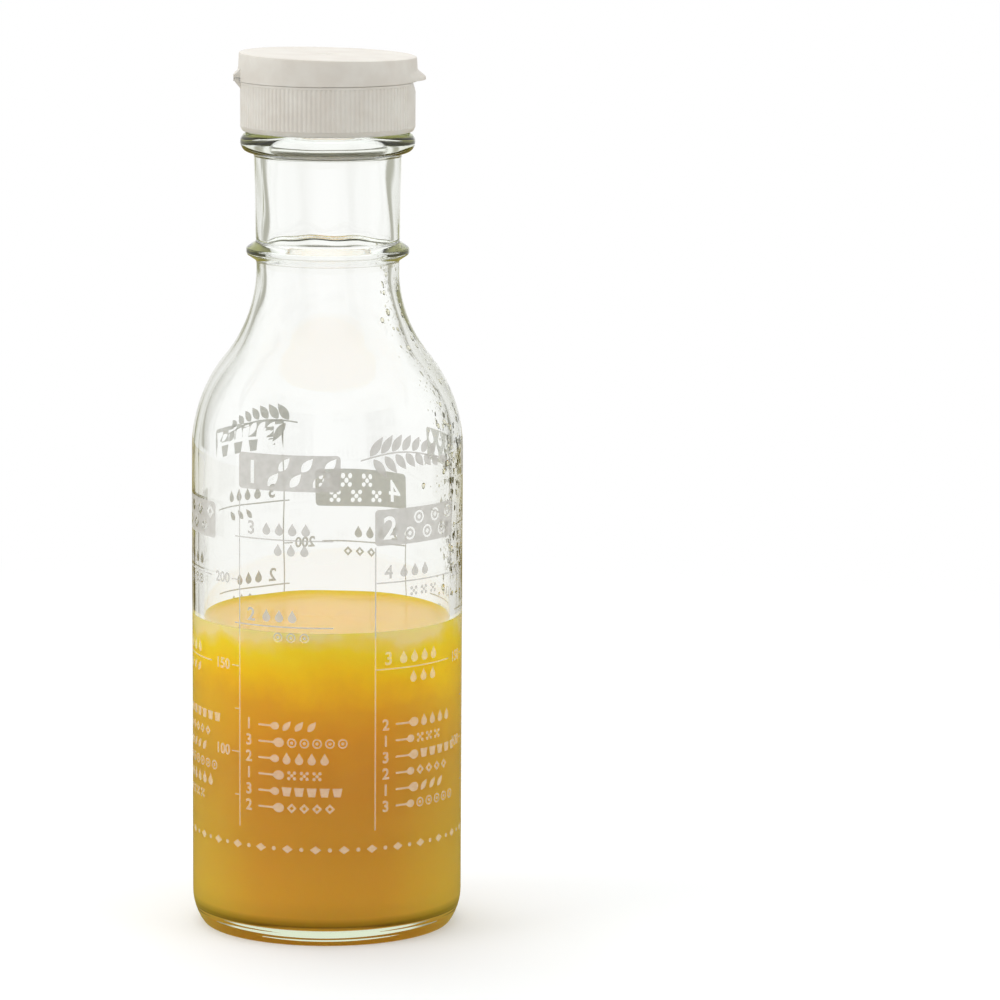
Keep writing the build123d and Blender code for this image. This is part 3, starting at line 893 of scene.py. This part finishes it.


# Each flat point goes to the angle u / R - 90 degrees, at its own height, just off the glass there. Cuts
# along the bottle let the flat shapes bend, and a cut at the fill line parts the ink into its two painted
# copies: painted shade above it and painted glow below it.
def printPiece():
    layers = [[], [], bandShapes()]
    for rule, shapes in map(panelShapes, range(printing["panels"])):
        layers[0] += rule
        layers[1] += shapes
    for turn in (0, 1):
        stem, leaves = sprigShapes(sprig["along"] + turn * circumference / 2)
        layers[0] += stem
        layers[1] += leaves
    bm = bmesh.new()
    for shapes in layers:
        flat = filled(shapes)
        bm.from_mesh(flat)
        bpy.data.meshes.remove(flat)
    along = [vert.co.x for vert in bm.verts]
    step = printing["cut"]
    places = np.arange(math.ceil(min(along) / step), max(along) / step) * step
    cuts = [((place, 0, 0), (1, 0, 0)) for place in places]
    for place, normal in [*cuts, ((0, fillHigh[2], 0), (0, 1, 0))]:
        bmesh.ops.bisect_plane(bm, geom=[*bm.verts, *bm.edges, *bm.faces], dist=0.0005, plane_co=place,
                               plane_no=normal)
    bmesh.ops.remove_doubles(bm, verts=bm.verts, dist=0.002)
    for face in bm.faces:
        face.material_index = int(face.calc_center_median().y < fillHigh[2])
    mesh = bpy.data.meshes.new("measuring_print")
    bm.to_mesh(mesh)
    bm.free()
    flat = np.zeros(len(mesh.vertices) * 3)
    mesh.vertices.foreach_get("co", flat)
    flat = flat.reshape(-1, 3)
    outline = outerOutline()
    outline = outline[outline[:, 1] < shoulderTop]
    radius = np.interp(flat[:, 1], outline[:, 1], outline[:, 0]) + printing["lift"]
    angle = flat[:, 0] / glassHigh[0] - math.pi / 2
    mesh.vertices.foreach_set("co", (turned(radius, flat[:, 1], angle) * mm).ravel())
    mesh.update()
    mesh.shade_smooth()
    piece = linkObject("measuring_print", mesh)
    # The ink's painted shaded copy above the fill line, and its painted glowing copy below it
    for name in ("ceramicInkPaintedShadeOnClearGlass", "ceramicInkPaintedGlowOverFilling"):
        mesh.materials.append(plainFinish(name))
    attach(piece, "bottle")
    return piece


printed = printPiece()
print("print", len(printed.data.polygons), "faces")


# Screw cap, flip lid and the hinge between them. Rounds are the roundings of their corners, and ribFoot is
# (share of a rib's depth, height over the chamfer) points.

cap = dict(
    boreGap=0.25, wall=1.05, rib=0.35, ribPitch=1.05, ribColumns=8, chamfer=1.0, deck=1.2,
    spoutRise=3.0, spoutWall=0.9, spoutFlare=1.0, orifice=4.0, snapRise=1.0, snapWidth=1.0, snapGap=0.35,
    recessWidth=15.0, scoopDepth=1.3, scoopHeight=2.4, scoopRow=192.2, ribMargin=0.6, ribShow=0.4,
    ribFoot=((0.0, 0.1), (0.8, 0.18), (1.0, 0.4)), ribEnd=0.12, rowGap=0.02, bandGap=0.03, stepLean=0.07,
    rounds=dict(skirtIn=0.15, skirtOut=0.3, ribLow=0.3, band=0.06, deckEdge=0.22, step=0.1, snapFoot=0.12,
                snapTop=0.3, snapIn=0.2, spoutFoot=0.5, spoutTop=0.3, orificeTop=0.25, orificeLow=0.2,
                ceiling=0.3))
ridge = dict(pitch=thread["pitch"], depth=1.0, root=1.8, crest=0.7, turns=1.0, fadeShare=0.08,
             startShare=0.28, dropShare=0.4, above=5.4, below=1.1, rows=30)
hinge = dict(width=11.0, sideGap=0.3, gap=0.1, flat=0.7, slope=1.3, lift=0.85)
lid = dict(
    gap=0.15, wall=1.5, draft=0.25, height=5.85, slope=1.0, top=1.2, overhang=0.2, lip=0.1,
    plugGap=0.25, plugDepth=1.6, plugWall=0.8, plugChamfer=0.4, plugRow=0.8, rimRow=1.4,
    tabWidth=16.0, tabHeight=2.2, tabTip=0.7, tabLift=0.2, tabRow=0.03, bossRows=(0.04, 0.08),
    gateRadius=2.2, gateDepth=0.16, gateSlope=0.25, gateFloor=0.6, sprueRadius=0.42, sprueAt=0.4,
    sprueRise=0.05,
    rounds=dict(plugIn=0.2, plugTip=0.15, plugSide=0.2, plugFoot=0.25, ceiling=0.5, lowEdge=0.15, tabLow=0.05,
                tabTip=0.25, tabTop=0.3, topEdge=0.5, gateEdge=0.2, gateFoot=0.15, gateFloor=0.1))
leastFacing = 0.2

boreRadius = bottle["finishRadius"] + thread["depth"] + cap["boreGap"]
ribRoot = boreRadius + cap["wall"]
capRadius = ribRoot + cap["rib"]
deckTop = capHigh[2] - cap["spoutRise"]
deckBottom = deckTop - cap["deck"]
hingeHeight = deckTop + hinge["lift"]
hingeFace = -lidLow[0]
lidBottom = deckTop + lid["gap"]
lidRadius = capRadius + lid["overhang"]
lidInner = lidRadius - lid["wall"]
hingeRoot = lidInner + (lid["wall"] - lid["overhang"]) / 3
ribCount = round(math.tau * ribRoot / cap["ribPitch"])
capColumns = ribCount * cap["ribColumns"]
capAngle = np.arange(capColumns) * math.tau / capColumns
tabSide = np.cos(capAngle)    # above nought on the thumb tab's side, below it on the hinge's
facing = np.maximum(np.abs(tabSide), leastFacing)  # a plane across that side is at its distance over facing
onBoss = (tabSide < 0) & (np.abs(hingeFace * np.sin(capAngle)) < hinge["width"] / 2)
plastic = polypropylene()


# The surface of a moulded piece, for every column at once. A corner is (radius, height, rounding): it gives
# way to the parabola that has it as control point and starts and ends up to one rounding away, but no more
# than 0.45 of the way to its neighbour. A rounding of nought keeps the corner as one row.
def mouldedSurface(points):
    corners = [pairs(np.zeros(capColumns) + radius, height) for radius, height, rounding in points]
    share = np.linspace(0, 1, 3)[:, None, None]
    rows = []
    for index, here in enumerate(corners):
        rounding = points[index][2]
        if rounding == 0:
            rows.append(here[None])
            continue
        ways = [corners[index - 1] - here, corners[(index + 1) % len(corners)] - here]
        start, end = [here + way * np.minimum(0.45, rounding / np.linalg.norm(way, axis=-1, keepdims=True))
                      for way in ways]
        rows.append((1 - share) ** 2 * start + 2 * share * (1 - share) * here + share**2 * end)
    rows = np.concatenate(rows)
    return turned(rows[..., 0], rows[..., 1], capAngle)


# Shading by the area of the faces, so that flat ones stay flat beside small roundings
def weighted(piece):
    piece.modifiers.new("evenShading", "WEIGHTED_NORMAL").keep_sharp = True
    return piece


# One closed outline for each column, from the skirt's lower edge up the outside, over the deck, the snap ring
# and the spout, and down the bore. Ribs are half circles of the distance to the nearest rib, with ribShow of
# their depth left, the finger recess is a leaning plane, x = limit(z), so r = x / cos a, and the hinge boss
# stands out to the plane x = -face.
def screwCap():
    ribAngle = math.tau / ribCount
    nearest = np.round(capAngle / ribAngle)
    ribMiddle = np.abs(ribRoot * np.sin(nearest * ribAngle))
    off = (capAngle / ribAngle - nearest) * ribAngle * ribRoot
    bareWidth = np.where(tabSide > 0, cap["recessWidth"], hinge["width"])
    crest = np.sqrt(np.clip(cap["rib"] ** 2 - off**2, 0, None))
    bump = (cap["ribShow"] * crest + (1 - cap["ribShow"]) * cap["rib"]) * (ribMiddle >= bareWidth / 2)
    bossLow = hingeHeight - hinge["flat"] - hinge["slope"]
    scoopLow = deckTop - cap["scoopHeight"]
    scoopIn = capRadius - cap["scoopDepth"]

    def wallAt(height, proud):
        plane = scoopIn + (deckTop - height) / cap["scoopHeight"] * (ribRoot - scoopIn)
        scooped = np.where((tabSide > 0) & (height >= scoopLow), plane / facing, np.inf)
        lean = ribRoot + np.clip((height - bossLow) / hinge["slope"], 0, 1) * (hingeFace - ribRoot)
        raised = np.where(onBoss & (height >= bossLow), lean / facing, 0.0)
        return np.maximum(np.minimum(ribRoot + proud, scooped), raised)

    low = capLow[2]
    high = capHigh[2]
    ribLow = low + cap["chamfer"]
    ribHigh = deckTop - cap["ribMargin"]
    outerTop = np.where(onBoss, hingeHeight - hinge["gap"] / 2, deckTop)
    bandLow = np.where(onBoss, hingeHeight - hinge["flat"], ribHigh + cap["bandGap"])
    snapOuter = lidInner - cap["snapGap"]
    snapInner = snapOuter - cap["snapWidth"]
    snapTop = deckTop + cap["snapRise"]
    orifice = cap["orifice"]
    spoutOuter = orifice + cap["spoutWall"]
    rounds = cap["rounds"]
    points = [
        (boreRadius, low, rounds["skirtIn"]), (ribRoot - cap["chamfer"] / 2, low, rounds["skirtOut"]),
        (ribRoot, ribLow, rounds["ribLow"])]
    for share, rise in cap["ribFoot"]:
        points.append((ribRoot + share * bump, ribLow + rise, 0))
    for height in (scoopLow - cap["rowGap"], cap["scoopRow"], bossLow, ribHigh - cap["ribEnd"]):
        points.append((wallAt(height, bump), height, 0))
    points += [
        (wallAt(bandLow, cap["rib"]), bandLow, rounds["band"]),
        (wallAt(outerTop, cap["rib"]), outerTop, rounds["deckEdge"]),
        (hingeRoot + cap["stepLean"], outerTop, rounds["step"]), (hingeRoot - cap["stepLean"], deckTop, 0),
        (snapOuter, deckTop, rounds["snapFoot"]), (snapOuter, snapTop, rounds["snapTop"]),
        (snapInner, snapTop, rounds["snapTop"]), (snapInner, deckTop, rounds["snapIn"]),
        (spoutOuter + cap["spoutFlare"], deckTop, rounds["spoutFoot"]),
        (spoutOuter, high, rounds["spoutTop"]), (orifice, high, rounds["orificeTop"]),
        (orifice, deckBottom, rounds["orificeLow"]), (boreRadius, deckBottom, rounds["ceiling"])]
    ridgeLow = threadLow + ridge["pitch"] * (ridge["startShare"] - ridge["dropShare"])
    for height in np.linspace(ridgeLow + ridge["above"], ridgeLow - ridge["below"], ridge["rows"]):
        reach = ridgeHeight(capAngle, height, ridgeLow, math.tau * ridge["startShare"], ridge)
        points.append((boreRadius - reach, height, 0))
    piece = gridPiece("screw_cap_ribbed", mouldedSurface(points), closedRows=True)
    piece.data.materials.append(plastic)
    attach(weighted(piece), "cap")
    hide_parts("screw_cap")
    return piece


# One outline for each column, from the middle of the ceiling over the plug, down the inner wall, round the
# lower edge, up the outside and over the sloping top. The thumb tab is a crescent of radius R about a centre
# that lies c off the axis: r = c cos a + sqrt(R**2 - (c sin a)**2), no further out than its tip. The hinge
# boss is a plane, as on the cap.
def flipLid():
    halfTab = lid["tabWidth"] / 2
    across = np.abs(lidRadius * np.sin(capAngle))
    notch = (tabSide < 0) & (across < hinge["width"] / 2 + hinge["sideGap"])
    lowEdge = np.where(notch, hingeHeight + hinge["gap"] / 2, lidBottom - lid["lip"])
    tip = lidHigh[0]
    tabRise = tip - math.sqrt(lidRadius**2 - halfTab**2)
    crescentRadius = (halfTab**2 + tabRise**2) / (2 * tabRise)
    offset = tip - crescentRadius
    inside = np.clip(crescentRadius**2 - (offset * np.sin(capAngle)) ** 2, 0, None)
    crescent = offset * tabSide + np.sqrt(inside)
    crescent = np.where((tabSide > 0) & (across < halfTab), crescent, 0.0)
    topHeight = lidBottom + lid["height"]

    def topAt(radius):
        return topHeight - lid["slope"] / 2 * radius * tabSide / lidRadius

    def wallAt(height):
        return lidRadius - lid["draft"] * (height - lidBottom) / lid["height"]

    def proudAt(height):
        return np.maximum(wallAt(height), np.where(onBoss, hingeFace / facing, np.minimum(crescent, tip)))

    ceiling = topHeight - lid["slope"] / 2 - lid["top"]
    plugOut = cap["orifice"] - lid["plugGap"]
    plugIn = plugOut - lid["plugWall"]
    plugLow = capHigh[2] - lid["plugDepth"]
    tabLow = lidBottom + lid["tabLift"]
    bossHigh = hingeHeight + hinge["flat"]
    foot = np.where(tabSide > 0, tabLow, lowEdge + lid["bossRows"][0])
    lower = np.where(tabSide > 0, tabLow + lid["tabRow"], lowEdge + lid["bossRows"][1])
    upper = np.where(tabSide > 0, tabLow + lid["tabTip"], bossHigh)
    ending = np.where(tabSide > 0, tabLow + lid["tabHeight"], bossHigh + hinge["slope"])
    edge = lidRadius - lid["draft"]
    rimLine = edge - lid["rimRow"]
    gate = lid["gateRadius"]
    gateFloor = lid["gateFloor"]
    gateDepth = lid["gateDepth"]
    rounds = lid["rounds"]
    points = [
        (lid["plugRow"], ceiling, 0), (plugIn, ceiling, rounds["plugIn"]),
        (plugIn, plugLow, rounds["plugTip"]), (plugOut - lid["plugChamfer"], plugLow, rounds["plugTip"]),
        (plugOut, plugLow + lid["plugChamfer"], rounds["plugSide"]), (plugOut, ceiling, rounds["plugFoot"]),
        (lidInner, ceiling, rounds["ceiling"]), (lidInner, lowEdge, rounds["lowEdge"]),
        (np.where(onBoss, proudAt(lowEdge), wallAt(lowEdge)), lowEdge, rounds["lowEdge"]),
        (np.where(onBoss, proudAt(foot), wallAt(foot)), foot, 0), (proudAt(lower), lower, rounds["tabLow"]),
        (proudAt(upper), upper, rounds["tabTip"]), (wallAt(ending), ending, rounds["tabTop"]),
        (edge, topAt(edge), rounds["topEdge"]), (rimLine, topAt(rimLine), 0),
        (gate + lid["gateSlope"], topAt(gate), rounds["gateEdge"]),
        (gate, topAt(gate) - gateDepth, rounds["gateFoot"]),
        (gateFloor, topAt(gateFloor) - gateDepth, rounds["gateFloor"]),
        (lid["sprueRadius"], topAt(lid["sprueAt"]) - lid["sprueRise"], 0)]
    piece = gridPiece("flip_lid_shell", mouldedSurface(points), lowPole=(0, 0, ceiling),
                      highPole=(0, 0, topHeight - lid["sprueRise"]))
    piece.data.materials.append(plastic)
    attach(weighted(piece), "lid")
    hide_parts("flip_lid")
    return piece


film = dict(middle=0.2, rows=16, along=20, bendHalf=0.35)


# The hinge's film: its section is a thin upright strip, waisted at half height, carried across the hinge's
# width.
def hingeFilm():
    height = np.linspace(filmLow[2], filmHigh[2], film["rows"])
    share = np.linspace(-1, 1, film["rows"])
    middle = (filmLow[0] + filmHigh[0]) / 2
    full = (filmHigh[0] - filmLow[0]) / 2
    half = film["middle"] / 2 + (full - film["middle"] / 2) * share**2
    section = np.concatenate([pairs(middle - half, height), pairs(middle + half, height)[::-1]])
    along = np.linspace(filmLow[1], filmHigh[1], film["along"])
    points = np.stack(np.broadcast_arrays(section[:, 0], along[:, None], section[:, 1]), axis=-1)
    centre = height.mean()
    piece = gridPiece("living_hinge_film", points, lowPole=(middle, filmLow[1], centre),
                      highPole=(middle, filmHigh[1], centre))
    piece.data.materials.append(plastic)
    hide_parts("living_hinge")
    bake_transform(piece)


capPiece = screwCap()
lidPiece = flipLid()
hingeFilm()
print("cap", len(capPiece.data.polygons), "faces, lid", len(lidPiece.data.polygons), "faces")

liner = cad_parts["cap_liner"]
liner.data.materials.clear()
liner.data.materials.append(plainFinish("polyethyleneFoam"))


# Floor, light and world, in metres. A card is given by the cosines where its edge starts and ends.

studio = dict(floorRings=(0.9, 0.5, 0.25, 0.1, 0.02), floorColour="#E4E6E6", floorGlow=0.13, fade=(0.22, 0.5),
              worldLight=0.8, mirrored="#A09050", underGlow=0.7, underColour="#DCB86C", under=(0.024, 0.029),
              cardColour="#6A6840", bentCard=(-0.66, -1.0), bentShade=0.62, glossCard=(0.8, -0.2),
              glossShade=0.5, cardTop=(0.75, 0.45))


# Rays that a glossy surface mirrors; those that clear glass bends count as glossy too, and are left out.
def mirroredRay(tree, path):
    return addNode(tree, "Math", {"operation": "MULTIPLY"},
                   {0: path.outputs["Is Glossy Ray"], 1: path.outputs["Is Reflection Ray"]})


# The floor is a wide disc of matt card. Near the bottle it takes the shadow, and further out it turns white.
# What mirrors it straight to the eye sees a dim warm painted reflection instead, as a wooden table would
# give. Under the base it has a painted glow, standing in for the light that comes down through the filling.
def floorDisc():
    turn = np.arange(96) * math.tau / 96
    radius = np.array(studio["floorRings"])[:, None] / mm
    piece = gridPiece("studio_floor", turned(radius, 0 * radius, turn[None, :]), highPole=(0, 0, 0))
    material, tree = newTree("mattPaintedFloor")
    place = addNode(tree, "TexCoord").outputs["Object"]
    reach = addNode(tree, "VectorMath", {"operation": "LENGTH"}, {0: place}).outputs["Value"]
    path = addNode(tree, "LightPath")
    seen = addNode(tree, "Math", {"operation": "ADD", "use_clamp": True},
                   {0: path.outputs["Is Camera Ray"], 1: path.outputs["Is Transmission Ray"]})
    lift = addNode(tree, "Math", {"operation": "MULTIPLY", 1: studio["floorGlow"]}, {0: seen})
    matt = addNode(tree, "BsdfDiffuse", {"Color": linear(studio["floorColour"])})
    glow = addNode(tree, "Emission", {}, {"Strength": lift})
    lit = addNode(tree, "AddShader", {}, {0: matt, 1: glow})
    # Painted glow on the floor under the base
    under = addNode(tree, "MapRange",
                    {**smoothly, "From Min": studio["under"][0], "From Max": studio["under"][1],
                     "To Min": studio["underGlow"], "To Max": 0.0}, {"Value": reach})
    tinted = addNode(tree, "Emission", {"Color": linear(studio["underColour"])}, {"Strength": under})
    near = addNode(tree, "AddShader", {}, {0: lit, 1: tinted})
    white = addNode(tree, "Emission", {}, {"Strength": seen})
    fade = addNode(tree, "MapRange",
                   {**smoothly, "From Min": studio["fade"][0], "From Max": studio["fade"][1]},
                   {"Value": reach})
    plain = addNode(tree, "MixShader", {}, {0: fade, 1: near, 2: white})
    # Painted reflection: what mirrors the floor straight to the eye sees this warm colour
    paintedReflection = addNode(tree, "Emission", {"Color": linear(studio["mirrored"])})
    first = addNode(tree, "Math", {"operation": "LESS_THAN", 1: 1.5}, {0: path.outputs["Ray Depth"]})
    direct = addNode(tree, "Math", {"operation": "MULTIPLY"}, {0: first, 1: mirroredRay(tree, path)})
    ground = addNode(tree, "MixShader", {}, {0: direct, 1: plain, 2: paintedReflection})
    addNode(tree, "OutputMaterial", {}, {"Surface": ground})
    piece.data.materials.append(material)


# Even light from all round. Camera rays see white. What the glass bends sees white with four soft dark cards,
# one between each two of the four main sides, so its edges are drawn from any of them, and what it reflects
# sees wider and paler ones. A card is where the cosine of four times the heading is low, and it fades towards
# its top.
def studioWorld():
    world = bpy.data.worlds.new("studioWorld")
    bpy.context.scene.world = world
    world.use_nodes = True
    tree = world.node_tree
    tree.nodes.clear()
    place = addNode(tree, "TexCoord").outputs["Generated"]
    split = addNode(tree, "SeparateXYZ", {}, {0: place})
    turn = addNode(tree, "Math", {"operation": "ARCTAN2"}, {0: split.outputs["Y"], 1: split.outputs["X"]})
    four = addNode(tree, "Math", {"operation": "MULTIPLY", 1: 4.0}, {0: turn})
    wave = addNode(tree, "Math", {"operation": "COSINE"}, {0: four})
    path = addNode(tree, "LightPath")
    shades = []
    for edges, full, ray in ((studio["bentCard"], studio["bentShade"], path.outputs["Is Transmission Ray"]),
                             (studio["glossCard"], studio["glossShade"], mirroredRay(tree, path))):
        card = addNode(tree, "MapRange",
                       {**smoothly, "From Min": edges[0], "From Max": edges[1], "To Max": full},
                       {"Value": wave})
        shades.append(addNode(tree, "Math", {"operation": "MULTIPLY"}, {0: card, 1: ray}))
    either = addNode(tree, "Math", {"operation": "MAXIMUM"}, {0: shades[0], 1: shades[1]})
    low = addNode(tree, "MapRange",
                  {**smoothly, "From Min": studio["cardTop"][0], "From Max": studio["cardTop"][1]},
                  {"Value": split.outputs["Z"]})
    shade = addNode(tree, "Math", {"operation": "MULTIPLY"}, {0: either, 1: low})
    card = linear(studio["cardColour"])
    colour = addNode(tree, "Mix", {"data_type": "RGBA", 6: linear("#FFFFFF"), 7: card}, {0: shade})
    bent = addNode(tree, "Math", {"operation": "ADD", "use_clamp": True},
                   {0: path.outputs["Is Transmission Ray"], 1: path.outputs["Is Glossy Ray"]})
    seen = addNode(tree, "Math", {"operation": "MAXIMUM"}, {0: bent, 1: path.outputs["Is Camera Ray"]})
    level = addNode(tree, "MapRange", {"To Min": studio["worldLight"], "To Max": 1.0}, {"Value": seen})
    back = addNode(tree, "Background", {}, {"Color": colour.outputs[2], "Strength": level})
    addNode(tree, "OutputWorld", {}, {"Surface": back})


# Each lamp: its place and size in metres and its power in watts; all point at the bottle's middle
lamps = {
    "topBack": dict(place=(-0.18, 0.42, 0.85), size=0.8, power=3.4),
    "frontLeft": dict(place=(-0.85, -0.35, 0.45), size=0.6, power=3.5),
    "frontRight": dict(place=(0.85, -0.35, 0.4), size=0.6, power=2.2),
}
lampAim = (0, 0, 0.1)


def addLamps():
    for name, lamp in lamps.items():
        data = bpy.data.lights.new(name, "AREA")
        data.size = lamp["size"]
        data.energy = lamp["power"]
        light = linkObject(name, data)
        light.location = lamp["place"]
        light.visible_glossy = light.visible_transmission = False        # no square glints on the glass
        light.rotation_euler = (Vector(lampAim) - light.location).to_track_quat("-Z", "Y").to_euler()


camera = dict(place=(0.0395, -1.25, 0.297), pitch=9.04, roll=0.35, lens=199.1, sensor=36.0, nearest=0.01)


def addCamera():
    data = bpy.data.cameras.new("photoCamera")
    data.lens = camera["lens"]
    data.sensor_width = camera["sensor"]
    data.clip_start = camera["nearest"]
    holder = linkObject("photoCamera", data)
    tilt = Matrix.Rotation(math.radians(90 - camera["pitch"]), 4, "X")
    roll = Matrix.Rotation(math.radians(camera["roll"]), 4, "Z")
    holder.matrix_world = Matrix.Translation(camera["place"]) @ tilt @ roll
    bpy.context.scene.camera = holder


floorDisc()
studioWorld()
addLamps()
addCamera()
bpy.context.scene.view_settings.view_transform = "Standard"
print("studio set")
